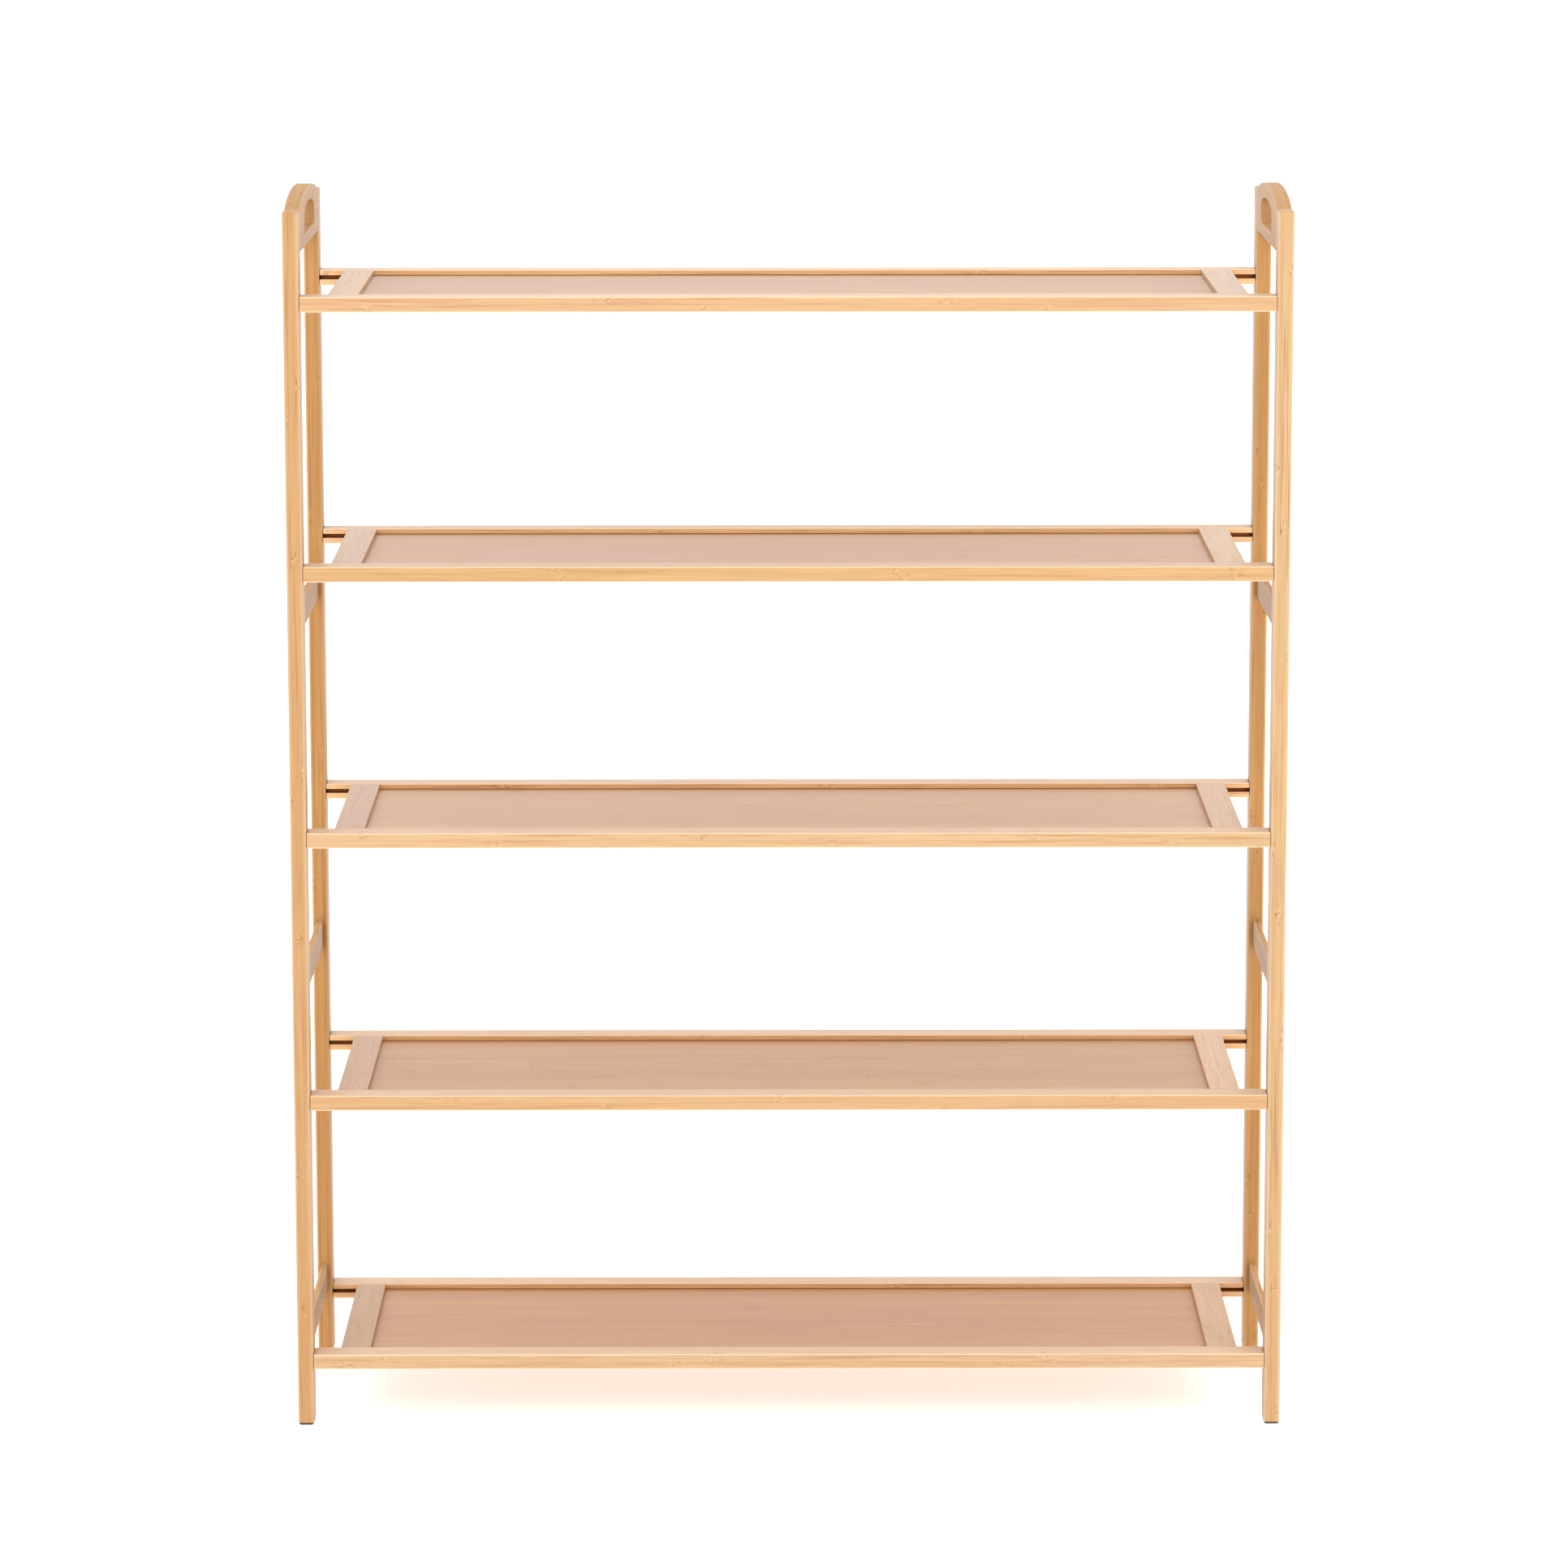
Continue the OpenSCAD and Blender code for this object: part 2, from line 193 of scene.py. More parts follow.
def bamboo(
    name,
    axis,
    seed,
    tones,
    side,
    side_axis,
    dark,
    strip=(5.2, 7.5),
    contrast=1.0,
    streak=0.62,
    fibre=0.40,
    side_grain=0.5,
    node_gap=0.27,
    node_amount=0.7,
    rough=0.42,
    coat=0.12,
    value=1.0,
    bump=0.35,
    edge_highlight=0.5,
    v_at=None,
    w_at=None,
    specular=0.5,
    painted_corner_shade=0.0,
):
    """Laminated bamboo. axis is the grain's direction. Colour comes from the strips that the stick is glued from
    (each somewhere between the two tones), from fine and medium fibres along the grain, and from the growth rings
    that cross each strip every so often. Faces across side_axis show the strips' greyish side, which is paler on the
    rails; for posts, handles and slats that side colour is set darker as painted shade. Rounded edges are painted
    paler, a painted highlight. v_at and w_at put the middle of a strip at that place (mm), so that no glue line runs
    along a face. The last argument darkens the last few millimetres in front of the rails towards orange-brown:
    painted shade of the corner, tinted as a painted reflection of the golden rail."""
    mat, nt, bsdf = new_material(name)
    k = Net(nt)
    tc = nt.nodes.new("ShaderNodeTexCoord")
    sp = nt.nodes.new("ShaderNodeSeparateXYZ")
    nt.links.new(tc.outputs["Object"], sp.inputs[0])
    x, y, z = sp.outputs
    sn = nt.nodes.new("ShaderNodeSeparateXYZ")
    nt.links.new(tc.outputs["Normal"], sn.inputs[0])
    normal = dict(zip("XYZ", sn.outputs))
    u, v, w = {"X": (x, y, z), "Y": (y, x, z), "Z": (z, x, y)}[axis]
    s1, s2, s3 = (seed * 0.731) % 7.0, (seed * 1.377) % 5.0, (seed * 2.193) % 3.0
    # everything runs a little out of true
    drift = k.noise(k.vec(k.math("MULTIPLY", u, 2.6), k.math("ADD", k.math("MULTIPLY", v, 9.0), s1), k.math("ADD", k.math("MULTIPLY", w, 9.0), s2)), 1.0, 1.0)
    drift = k.math("MULTIPLY", k.math("SUBTRACT", drift, 0.5), 0.0026)
    v1 = k.math("ADD", v, drift)
    w1 = k.math("SUBTRACT", w, drift)
    # strips
    sv, sw = strip[0] * MM, strip[1] * MM
    qv = k.math("ADD", k.math("DIVIDE", v1, sv), 40.0 + s1 if v_at is None else 900.5 - v_at / strip[0])
    qw = k.math("ADD", k.math("DIVIDE", w1, sw), 60.0 + s2 if w_at is None else 900.5 - w_at / strip[1])
    iv, iw = k.math("FLOOR", qv), k.math("FLOOR", qw)
    h, hc = k.white(k.vec(k.math("ADD", iv, 0.37 + s3), k.math("ADD", iw, 0.71), seed * 0.37 + 0.11))
    sep = nt.nodes.new("ShaderNodeSeparateColor")
    nt.links.new(hc, sep.inputs[0])
    h2, h3 = sep.outputs[0], sep.outputs[1]
    # glue lines
    fv = k.math("ABSOLUTE", k.math("SUBTRACT", k.math("FRACT", qv), 0.5))
    fw = k.math("ABSOLUTE", k.math("SUBTRACT", k.math("FRACT", qw), 0.5))
    glue = k.math("MAXIMUM", k.remap(fv, 0.5 - 0.24 / strip[0], 0.5, 0, 1, True), k.remap(fw, 0.5 - 0.24 / strip[1], 0.5, 0, 1, True))
    # growth rings: one every node_gap along each strip, a crooked band
    crook = k.noise(k.vec(k.math("ADD", k.math("MULTIPLY", u, 90.0), s2), k.math("MULTIPLY", v, 300.0), k.math("MULTIPLY", w, 300.0)), 1.0, 2.0)
    un = k.math("ADD", u, k.math("MULTIPLY", k.math("SUBTRACT", crook, 0.5), 0.012))
    t = k.math("FRACT", k.math("ADD", k.math("ADD", k.math("DIVIDE", un, node_gap), k.math("MULTIPLY", h2, 7.13)), 20.0 + s3))
    d = k.math("MULTIPLY", k.math("ABSOLUTE", k.math("SUBTRACT", t, 0.5)), node_gap)
    ring = k.remap(d, 0.0, 0.0011, 1, 0, True)
    halo = k.remap(d, 0.001, 0.013, 1, 0, True)
    lift = k.math("SUBTRACT", k.remap(d, 0.0010, 0.0060, 1, 0, True), ring)
    # fibres bend round a ring
    bend = k.math("MULTIPLY", k.math("MULTIPLY", k.math("SUBTRACT", crook, 0.5), halo), 0.0045)
    vf = k.math("ADD", v1, bend)
    wf = k.math("ADD", w1, bend)
    uo = k.math("ADD", u, k.math("MULTIPLY", h3, 9.0))
    fine = k.noise(k.vec(k.math("MULTIPLY", uo, 17.0), k.math("MULTIPLY", vf, 1250.0), k.math("MULTIPLY", wf, 1250.0)), 1.0, 2.0, 0.6)
    medium = k.noise(k.vec(k.math("MULTIPLY", uo, 8.0), k.math("MULTIPLY", vf, 430.0), k.math("MULTIPLY", wf, 430.0)), 1.0, 3.0, 0.6)
    broad = k.noise(k.vec(k.math("ADD", k.math("MULTIPLY", uo, 4.5), s1), k.math("MULTIPLY", v1, 90.0), k.math("MULTIPLY", w1, 90.0)), 1.0, 2.0, 0.5)
    flame = k.noise(k.vec(k.math("MULTIPLY", uo, 150.0), k.math("MULTIPLY", vf, 720.0), k.math("MULTIPLY", wf, 720.0)), 1.0, 2.0, 0.6)

    def scaled(c, f):
        return tuple(min(1.0, q * f) for q in c[:3]) + (1.0,)

    ta, tb = scaled(tones[0], value), scaled(tones[1], value)
    tone = k.math("ADD", k.math("MULTIPLY", h, 0.62), k.math("MULTIPLY", k.remap(broad, 0.34, 0.66), 0.38))
    tone = k.remap(tone, 0.5 - 0.5 / contrast, 0.5 + 0.5 / contrast)
    base = k.mix(tone, ta, tb)
    # the side faces, whose colour also holds painted shade; the rounded edges, masked from the normal, for a painted
    # highlight
    sf = k.remap(k.math("ABSOLUTE", normal[side_axis]), 0.72, 0.97, 0, 1, True)
    sc = scaled(side, value)
    side_c = k.mix(k.remap(broad, 0.36, 0.64), scaled(sc, 0.965), scaled(sc, 1.035))
    base = k.mix(sf, base, side_c)
    # mask of the rounded edges, for the painted highlight further down
    across = [c for c in "XYZ" if c != axis]
    edge_highlight_mask = k.math("MULTIPLY", k.math("ABSOLUTE", k.math("MULTIPLY", normal[across[0]], normal[across[1]])), 2.0)
    edge_highlight_mask = k.math("MULTIPLY", k.remap(edge_highlight_mask, 0.18, 0.75, 0, 1, True), edge_highlight)
    # fibres
    grain = k.remap(sf, 0, 1, 1.0, side_grain)
    base = k.mix(k.math("MULTIPLY", k.math("MULTIPLY", k.remap(medium, 0.52, 0.70, 0, 1, True), streak), grain), base, dark)
    base = k.mix(k.math("MULTIPLY", k.math("MULTIPLY", k.remap(fine, 0.53, 0.70, 0, 1, True), fibre), grain), base, dark)
    light = tuple(min(1.0, c * 1.14 + 0.01) for c in ta[:3]) + (1.0,)
    base = k.mix(k.math("MULTIPLY", k.math("MULTIPLY", k.remap(fine, 0.46, 0.30, 0, 1, True), 0.40), grain), base, light)
    # rings
    amount = k.math("MULTIPLY", grain, node_amount)
    base = k.mix(k.math("MULTIPLY", k.math("MULTIPLY", lift, amount), 0.55), base, light)
    strokes = k.math("MULTIPLY", k.remap(flame, 0.52, 0.62, 0, 1, True), halo)
    base = k.mix(k.math("MULTIPLY", k.math("MULTIPLY", strokes, amount), 0.85), base, scaled(dark, 0.85))
    base = k.mix(k.math("MULTIPLY", k.math("MULTIPLY", ring, k.remap(crook, 0.40, 0.58, 0.1, 1.0)), k.math("MULTIPLY", amount, 0.8)), base, scaled(dark, 0.62))
    base = k.mix(k.math("MULTIPLY", k.math("MULTIPLY", glue, grain), 0.42), base, scaled(dark, 0.9))
    # painted highlight: the rounded edges turned paler, standing in for light catching the fillets
    edge_highlight_colour = tuple(min(0.85, (a * 0.5 + b * 0.5) * g) for a, b, g in zip(ta[:3], sc[:3], (1.28, 1.50, 1.80))) + (1.0,)
    base = k.mix(edge_highlight_mask, base, edge_highlight_colour)
    # painted shade: the last few millimetres before the rails turn orange-brown, with a painted reflection of the
    # golden rail
    if painted_corner_shade:
        corner_shade_mask = k.remap(k.math("ABSOLUTE", y), 0.0880, 0.1015, 0, 1, True)
        base = k.mix(k.math("MULTIPLY", corner_shade_mask, painted_corner_shade), base, rgb(178, 122, 66))
    nt.links.new(base, bsdf.inputs["Base Color"])
    # surface
    r = k.math("ADD", k.math("MULTIPLY", fine, 0.16), rough - 0.08)
    nt.links.new(k.math("ADD", r, k.math("MULTIPLY", strokes, 0.10)), bsdf.inputs["Roughness"])
    height = k.math("ADD", k.math("MULTIPLY", fine, 0.55), k.math("MULTIPLY", medium, 0.45))
    height = k.math("SUBTRACT", height, k.math("MULTIPLY", glue, 0.5))
    height = k.math("ADD", height, k.math("MULTIPLY", lift, 0.35))
    nt.links.new(k.bump(height, bump, 0.00012), bsdf.inputs["Normal"])
    bsdf.inputs["IOR"].default_value = 1.5
    bsdf.inputs["Specular IOR Level"].default_value = specular
    bsdf.inputs["Coat Weight"].default_value = coat
    bsdf.inputs["Coat Roughness"].default_value = 0.28
    bsdf.inputs["Coat IOR"].default_value = 1.5
    return mat


def raw_cut(name, colour):
    """Freshly cut, unlacquered bamboo inside grooves and holes: dull and dusty, darker for the shade it lies in."""
    mat, nt, bsdf = new_material(name)
    k = Net(nt)
    x, y, z = k.object_xyz()
    n = k.noise(k.vec(k.math("MULTIPLY", x, 60.0), k.math("MULTIPLY", y, 900.0), k.math("MULTIPLY", z, 900.0)), 1.0, 3.0)
    c = k.mix(k.remap(n, 0.3, 0.7), tuple(v * 0.75 for v in colour[:3]) + (1.0,), colour)
    nt.links.new(c, bsdf.inputs["Base Color"])
    nt.links.new(k.remap(n, 0.2, 0.8, 0.75, 0.9), bsdf.inputs["Roughness"])
    nt.links.new(k.bump(n, 0.4, 0.0001), bsdf.inputs["Normal"])
    return mat


# ---------------------------------------------------------------- meshes


def fillet(corners, seg=6):
    """A closed outline with a true arc at each corner. corners: (x, y, radius), anticlockwise."""
    pts = []
    n = len(corners)
    for i, (x, y, r) in enumerate(corners):
        p = Vector((x, y))
        if r <= 0:
            pts.append(p)
            continue
        a = (Vector(corners[i - 1][:2]) - p).normalized()
        b = (Vector(corners[(i + 1) % n][:2]) - p).normalized()
        half = a.angle(b) / 2
        cut = r / math.tan(half)
        c = p + (a + b).normalized() * (r / math.sin(half))
        p0, p1 = p + a * cut - c, p + b * cut - c
        a0 = math.atan2(p0.y, p0.x)
        da = math.atan2(p0.x * p1.y - p0.y * p1.x, p0.dot(p1))
        for k in range(seg + 1):
            t = a0 + da * k / seg
            pts.append(c + Vector((math.cos(t), math.sin(t))) * r)
    return pts


def inset(pts, d):
    """The outline moved inwards by d (anticlockwise outline), with mitred corners."""
    n = len(pts)
    out = []
    for i in range(n):
        a = pts[i] - pts[i - 1]
        b = pts[(i + 1) % n] - pts[i]
        na = Vector((-a.y, a.x)).normalized()
        nb = Vector((-b.y, b.x)).normalized()
        m = (na + nb).normalized()
        out.append(pts[i] + m * (d / max(0.35, m.dot(na))))
    return out


PLACE = {
    "X": lambda p, t: (t, p.x, p.y),
    "Y": lambda p, t: (p.x, t, p.y),
    "Z": lambda p, t: (p.x, p.y, t),
}


def prism(pts, axis, a, b, ease_a=0.3, ease_b=0.3, steps=3, holes=()):
    """A stick of outline pts (mm) along an axis from a to b (mm), with its end edges rounded. holes are outlines, clockwise."""
    bm = bmesh.new()
    place = PLACE[axis]
    stations = []
    if ease_a > 0:
        for k in range(steps + 1):
            t = math.pi / 2 * k / steps
            stations.append((a + ease_a * (1 - math.cos(t)), ease_a * (1 - math.sin(t))))
    else:
        stations.append((a, 0))
    if ease_b > 0:
        for k in range(steps + 1):
            t = math.pi / 2 * (1 - k / steps)
            stations.append((b - ease_b * (1 - math.cos(t)), ease_b * (1 - math.sin(t))))
    else:
        stations.append((b, 0))
    rings = []
    for outline in (pts, *holes):
        loops = []
        for pos, d in stations:
            o = inset(outline, d) if d > 1e-9 else outline
            loops.append([bm.verts.new(Vector(place(p, pos)) * MM) for p in o])
        n = len(outline)
        for l0, l1 in zip(loops, loops[1:]):
            for i in range(n):
                bm.faces.new((l0[i], l0[(i + 1) % n], l1[(i + 1) % n], l1[i]))
        rings.append(loops)
    if holes:
        for end in (0, -1):
            flat = [v for r in rings for v in r[end]]
            polys = [[v.co for v in r[end]] for r in rings]
            for tri in tessellate_polygon(polys):
                vs = [flat[i] for i in tri]
                if len(set(vs)) == 3:
                    try:
                        bm.faces.new(vs)
                    except ValueError:
                        pass
    else:
        bm.faces.new(rings[0][0])
        bm.faces.new(list(reversed(rings[0][-1])))
    bmesh.ops.recalc_face_normals(bm, faces=bm.faces)
    return bm


def revolve(profile, axis, centre, seg=48):
    """A turned solid: profile is (position along axis, radius) in mm from one end to the other, both ends on the axis."""
    bm = bmesh.new()
    loops = []
    for pos, r in profile:
        if r < 1e-6:
            loops.append([bm.verts.new((pos, 0, 0))])
        else:
            loops.append([bm.verts.new((pos, r * math.cos(2 * math.pi * i / seg), r * math.sin(2 * math.pi * i / seg))) for i in range(seg)])
    for l0, l1 in zip(loops, loops[1:]):
        for i in range(seg):
            j = (i + 1) % seg
            if len(l0) == 1:
                bm.faces.new((l0[0], l1[j], l1[i]))
            elif len(l1) == 1:
                bm.faces.new((l0[i], l0[j], l1[0]))
            else:
                bm.faces.new((l0[i], l0[j], l1[j], l1[i]))
    turn = {"X": Matrix.Identity(4), "Y": Matrix.Rotation(math.pi / 2, 4, "Z"), "Z": Matrix.Rotation(-math.pi / 2, 4, "Y")}[axis]
    bm.transform(Matrix.Scale(MM, 4) @ Matrix.Translation(Vector(centre)) @ turn)
    bmesh.ops.recalc_face_normals(bm, faces=bm.faces)
    return bm


def mirror(bm, sx=1, sy=1):
    if sx * sy < 0:
        bm.transform(Matrix.Diagonal((sx, sy, 1, 1)))
        bmesh.ops.reverse_faces(bm, faces=bm.faces)
    else:
        bm.transform(Matrix.Diagonal((sx, sy, 1, 1)))
    return bm


def merged(parts):
    me = bpy.data.meshes.new("merged")
    bm = bmesh.new()
    for p in parts:
        tmp = bpy.data.meshes.new("tmp")
        p.to_mesh(tmp)
        p.free()
        bm.from_mesh(tmp)
        bpy.data.meshes.remove(tmp)
    bm.to_mesh(me)
    bm.free()
    return me


def to_object(name, bm_or_mesh):
    if isinstance(bm_or_mesh, bpy.types.Mesh):
        me = bm_or_mesh
        me.name = name
    else:
        me = bpy.data.meshes.new(name)
        bm_or_mesh.to_mesh(me)
        bm_or_mesh.free()
    ob = bpy.data.objects.new(name, me)
    scene.collection.objects.link(ob)
    return ob


def bake_modifiers(ob):
    dg = bpy.context.evaluated_depsgraph_get()
    me = bpy.data.meshes.new_from_object(ob.evaluated_get(dg), preserve_all_data_layers=True, depsgraph=dg)
    ob.modifiers.clear()
    old = ob.data
    name = old.name
    ob.data = me
    bpy.data.meshes.remove(old)
    me.name = name


def boolean(ob, cutters, operation="DIFFERENCE", cut_material=None):
    """Cuts the bmeshes out of ob, or joins them on. Faces left by a cutter take the second material slot."""
    tool = to_object("cutter", merged(cutters))
    if cut_material is not None:
        tool.data.materials.append(ob.data.materials[0])
        tool.data.materials.append(cut_material)
        for p in tool.data.polygons:
            p.material_index = 1
    mod = ob.modifiers.new("cut", "BOOLEAN")
    mod.operation = operation
    mod.solver = "EXACT"
    mod.object = tool
    bpy.context.view_layer.update()
    bake_modifiers(ob)
    data = tool.data
    bpy.data.objects.remove(tool)
    bpy.data.meshes.remove(data)


def finish_piece(ob, nodes, angle=32):
    me = ob.data
    for p in me.polygons:
        p.use_smooth = True
    me.set_sharp_from_angle(angle=math.radians(angle))
    mod = ob.modifiers.new("normals", "WEIGHTED_NORMAL")
    mod.mode = "FACE_AREA"
    mod.weight = 50
    mod.keep_sharp = True
    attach(ob, "root")
    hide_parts(*nodes)


# ---------------------------------------------------------------- sizes, from the frame


def mm_box(node):
    lo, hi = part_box(node)
    return [c * 1000 for c in lo], [c * 1000 for c in hi]


p_lo, p_hi = mm_box("right_rear_post")
XI, YI, POST_Z0 = p_lo
XO, YO, POST_TOP = p_hi
RAIL = {}
for i in range(1, 6):
    lo, hi = mm_box(f"tier{i}_rear_rail")
    RAIL[i] = (lo[1], hi[1], lo[2], hi[2], hi[0])
s_lo, s_hi = mm_box("tier1_right_stile")
SX0, SX1 = s_lo[0], s_hi[0]
h_lo, h_hi = mm_box("right_handle")
BOARD_Z0, CREST = h_lo[2], h_hi[2]
SLATS = {}
for k in ("lower", "middle", "upper"):
    SLATS[k] = mm_box(f"right_{k}_slat")
GROOVE_UP, GROOVE_H, GROOVE_D = 4.1, 3.6, 8.0
BOLT_Y = YO - 10.0

# ---------------------------------------------------------------- colours

GOLD = (rgb(205, 165, 116), rgb(194, 148, 97))
# side-face colour of posts, handles and slats: the strips' side tone, set darker as painted shade
SIDE_TONE_AND_SHADE = rgb(176, 145, 115)
DARK = rgb(150, 100, 54)
R_GOLD = (rgb(212, 174, 128), rgb(202, 158, 108))
R_SIDE = rgb(196, 166, 140)
R_DARK = rgb(158, 108, 62)
P_GOLD = (rgb(187, 158, 129), rgb(182, 147, 133))
P_DARK = rgb(146, 112, 86)



def tinted(c, t):
    """A colour, or a pair of tones, times a tint: sticks differ a little, and some tints also carry painted light and
    shade.
    """
    if isinstance(c[0], tuple):
        return tuple(tinted(q, t) for q in c)
    return tuple(min(0.9, a * b) for a, b in zip(c[:3], t)) + (1.0,)


GOLD_L = tinted(GOLD, (0.745, 0.705, 0.655))
GOLD_R = tinted(GOLD, (0.82, 0.87, 0.94))
R_GOLD = tinted(R_GOLD, (0.915, 0.85, 0.80))
R_SIDE = tinted(R_SIDE, (1.04, 0.97, 0.80))
FRONT_TINT = {1: (0.855, 0.945, 1.07), 2: (0.80, 0.79, 0.72), 3: (0.84, 0.90, 0.935), 4: (0.83, 0.845, 0.755), 5: (0.86, 0.88, 0.92)}
# rear rails made lighter, more for tiers 3 to 5: painted light, standing in for the light their inner faces lack over
# the panels
REAR_LIGHT_TINT = {1: (1.12, 1.15, 1.15), 2: (1.16, 1.22, 1.24), 3: (1.22, 1.30, 1.36), 4: (1.24, 1.34, 1.42), 5: (1.22, 1.30, 1.38)}
# rails' top and bottom faces darker from tier 1 down to tier 5: painted shade from the shelves above
SIDE_SHADE_LEVEL = {1: 1.06, 2: 1.03, 3: 1.0, 4: 0.97, 5: 0.95}
STILE_TINT = {
    -1: {1: (0.74, 0.65, 0.51), 2: (0.80, 0.70, 0.67), 3: (0.81, 0.75, 0.80), 4: (0.85, 0.87, 0.92), 5: (0.88, 0.87, 0.88)},
    1: {1: (0.92, 0.82, 0.68), 2: (1.03, 0.99, 0.95), 3: (0.90, 0.86, 0.86), 4: (0.98, 1.0, 1.0), 5: (0.87, 0.91, 0.95)},
}
# panel tints set tier by tier: tone, and painted shade of the shelves above each panel
PANEL_TINT_AND_SHADE = {1: (1.0, 0.815, 0.535), 2: (1.02, 0.885, 0.67), 3: (1.10, 1.05, 0.90), 4: (1.10, 1.04, 0.94), 5: (0.91, 0.85, 0.73)}

groove_mat = raw_cut("groove_cut", rgb(184, 112, 50))
hole_mat = raw_cut("hole_cut", rgb(186, 132, 76))

# ---------------------------------------------------------------- posts


def rounded(x0, y0, x1, y1, r, seg=6):
    return fillet([(x0, y0, r), (x1, y0, r), (x1, y1, r), (x0, y1, r)], seg)


def make_post(sx, sy, name, seed, tones, value):
    ob = to_object(name + "_stick", mirror(prism(rounded(XI, YI, XO, YO, 2.0), "Z", POST_Z0, POST_TOP, 1.0, 1.4, 4), sx, sy))
    ob.data.materials.append(bamboo(name + "_bamboo", "Z", seed, tones, SIDE_TONE_AND_SHADE, "X", DARK, strip=(5.2, 8.6), v_at=sx * 393.5, w_at=sy * 113.0, value=value, contrast=1.5, node_gap=0.31, coat=0.0, rough=0.5, specular=0.3, side_grain=0.6))
    ob.data.materials.append(hole_mat)
    cut = []
    for i in range(1, 6):
        z = RAIL[i][3] - 6.25
        cut.append(revolve([(XI - 1, 0), (XI - 1, 3.3), (XO - 2.9, 3.3), (XO - 2.9, 6.2), (XO - 0.3, 6.2), (XO + 0.2, 6.7), (XO + 1, 6.7), (XO + 1, 0)], "X", (0, BOLT_Y, z)))
    for lo, hi in SLATS.values():
        c, r = (lo[0] + hi[0]) / 2, (hi[0] - lo[0]) / 2
        pts = []
        for q in range(13):
            t = math.pi * q / 12
            pts.append(Vector((c + r * math.cos(t), hi[2] + r * math.sin(t))))
        for q in range(13):
            t = math.pi + math.pi * q / 12
            pts.append(Vector((c + r * math.cos(t), lo[2] + r * math.sin(t))))
        cut.append(prism(pts, "Y", YI - 1, YI + 8.5, 0, 0))
    for dz in (9, 25):
        cut.append(revolve([(YI - 1, 0), (YI - 1, 3.0), (YI + 10.5, 3.0), (YI + 10.5, 0)], "Y", ((XI + XO) / 2, 0, BOARD_Z0 + dz), 32))
    boolean(ob, [mirror(c, sx, sy) for c in cut], cut_material=hole_mat)
    finish_piece(ob, [name])
    return ob


REAR_GOLD = tinted((rgb(184, 140, 90), rgb(172, 124, 72)), (0.955, 0.935, 0.76))
make_post(-1, -1, "left_front_post", 3, GOLD_L, 1.0)
make_post(1, -1, "right_front_post", 11, GOLD_R, 1.0)
make_post(-1, 1, "left_rear_post", 17, REAR_GOLD, 1.0)
make_post(1, 1, "right_rear_post", 29, REAR_GOLD, 1.0)

# ---------------------------------------------------------------- handle boards


def arc(cx, cy, r, a0, a1, n):
    return [Vector((cx + r * math.cos(a0 + (a1 - a0) * i / n), cy + r * math.sin(a0 + (a1 - a0) * i / n))) for i in range(n + 1)]


def board_outline():
    r1, r2, r3 = 560.0, 180.0, 14.0
    y1 = 60.0
    zc1 = CREST - 0.01 - r1
    yc2 = (r1 - r2) * y1 / r1
    zc2 = zc1 + (r1 - r2) * math.sqrt(1 - (y1 / r1) ** 2)
    y3 = yc2 + math.sqrt((r2 + r3) ** 2 - (POST_TOP + r3 - zc2) ** 2)
    a_end = math.atan2(POST_TOP + r3 - zc2, y3 - yc2)
    half = []
    half += arc(y3, POST_TOP + r3, r3, -math.pi / 2, a_end - math.pi, 5)
    half += arc(yc2, zc2, r2, a_end, math.atan2(math.sqrt(1 - (y1 / r1) ** 2), y1 / r1), 12)[1:]
    half += arc(0, zc1, r1, math.acos(y1 / r1), math.pi / 2, 14)[1:]
    left = [Vector((-p.x, p.y)) for p in reversed(half[:-1])]
    e = 0.6
    foot = [Vector((-YI, POST_TOP)), Vector((-YI, BOARD_Z0 + e)), Vector((-YI + e * 0.3, BOARD_Z0 + e * 0.3)), Vector((-YI + e, BOARD_Z0))]
    foot += [Vector((-p.x, p.y)) for p in reversed(foot)]
    return half + left + foot


def slot_outline():
    h, z0, side, rise, lo_r, up_r = 54.0, BOARD_Z0 + 9.5, 18.2, 5.7, 4.0, 8.0
    ra = (h * h + rise * rise) / (2 * rise)
    zc = z0 + side + rise - ra
    yu = h - up_r
    zu = zc + math.sqrt((ra - up_r) ** 2 - yu * yu)
    a = math.atan2(zu - zc, yu)
    pts = arc(yu, zu, up_r, 0, a, 8)
    pts += arc(0, zc, ra, a, math.pi - a, 28)[1:]
    pts += arc(-yu, zu, up_r, math.pi - a, math.pi, 8)[1:]
    pts += arc(-h + lo_r, z0 + lo_r, lo_r, math.pi, 1.5 * math.pi, 6)
    pts += arc(h - lo_r, z0 + lo_r, lo_r, -math.pi / 2, 0, 6)
    return pts


def make_handle(sx, name, seed):
    slot = list(reversed(slot_outline()))
    ob = to_object(name + "_board", mirror(prism(board_outline(), "X", XI, XO, 1.0, 1.0, 4, holes=(slot,)), sx, 1))
    ob.data.materials.append(bamboo(name + "_bamboo", "Y", seed, GOLD_L, SIDE_TONE_AND_SHADE, "X", DARK, strip=(5.2, 80.0), v_at=sx * 393.5, w_at=975.0, streak=0.34, side_grain=0.25, node_amount=0.28, coat=0.0, rough=0.6, specular=0.2))
    ob.data.materials.append(hole_mat)
    cut = []
    for s in (-1, 1):
        for dz in (9, 25):
            a, b = sorted((s * (YI + 1), s * (YI - 10.5)))
            cut.append(revolve([(a, 0), (a, 3.0), (b, 3.0), (b, 0)], "Y", ((XI + XO) / 2, 0, BOARD_Z0 + dz), 32))
    boolean(ob, [mirror(c, sx, 1) for c in cut], cut_material=hole_mat)
    finish_piece(ob, [name])
    return ob


make_handle(-1, "left_handle", 41)
make_handle(1, "right_handle", 53)

# ---------------------------------------------------------------- cross slats


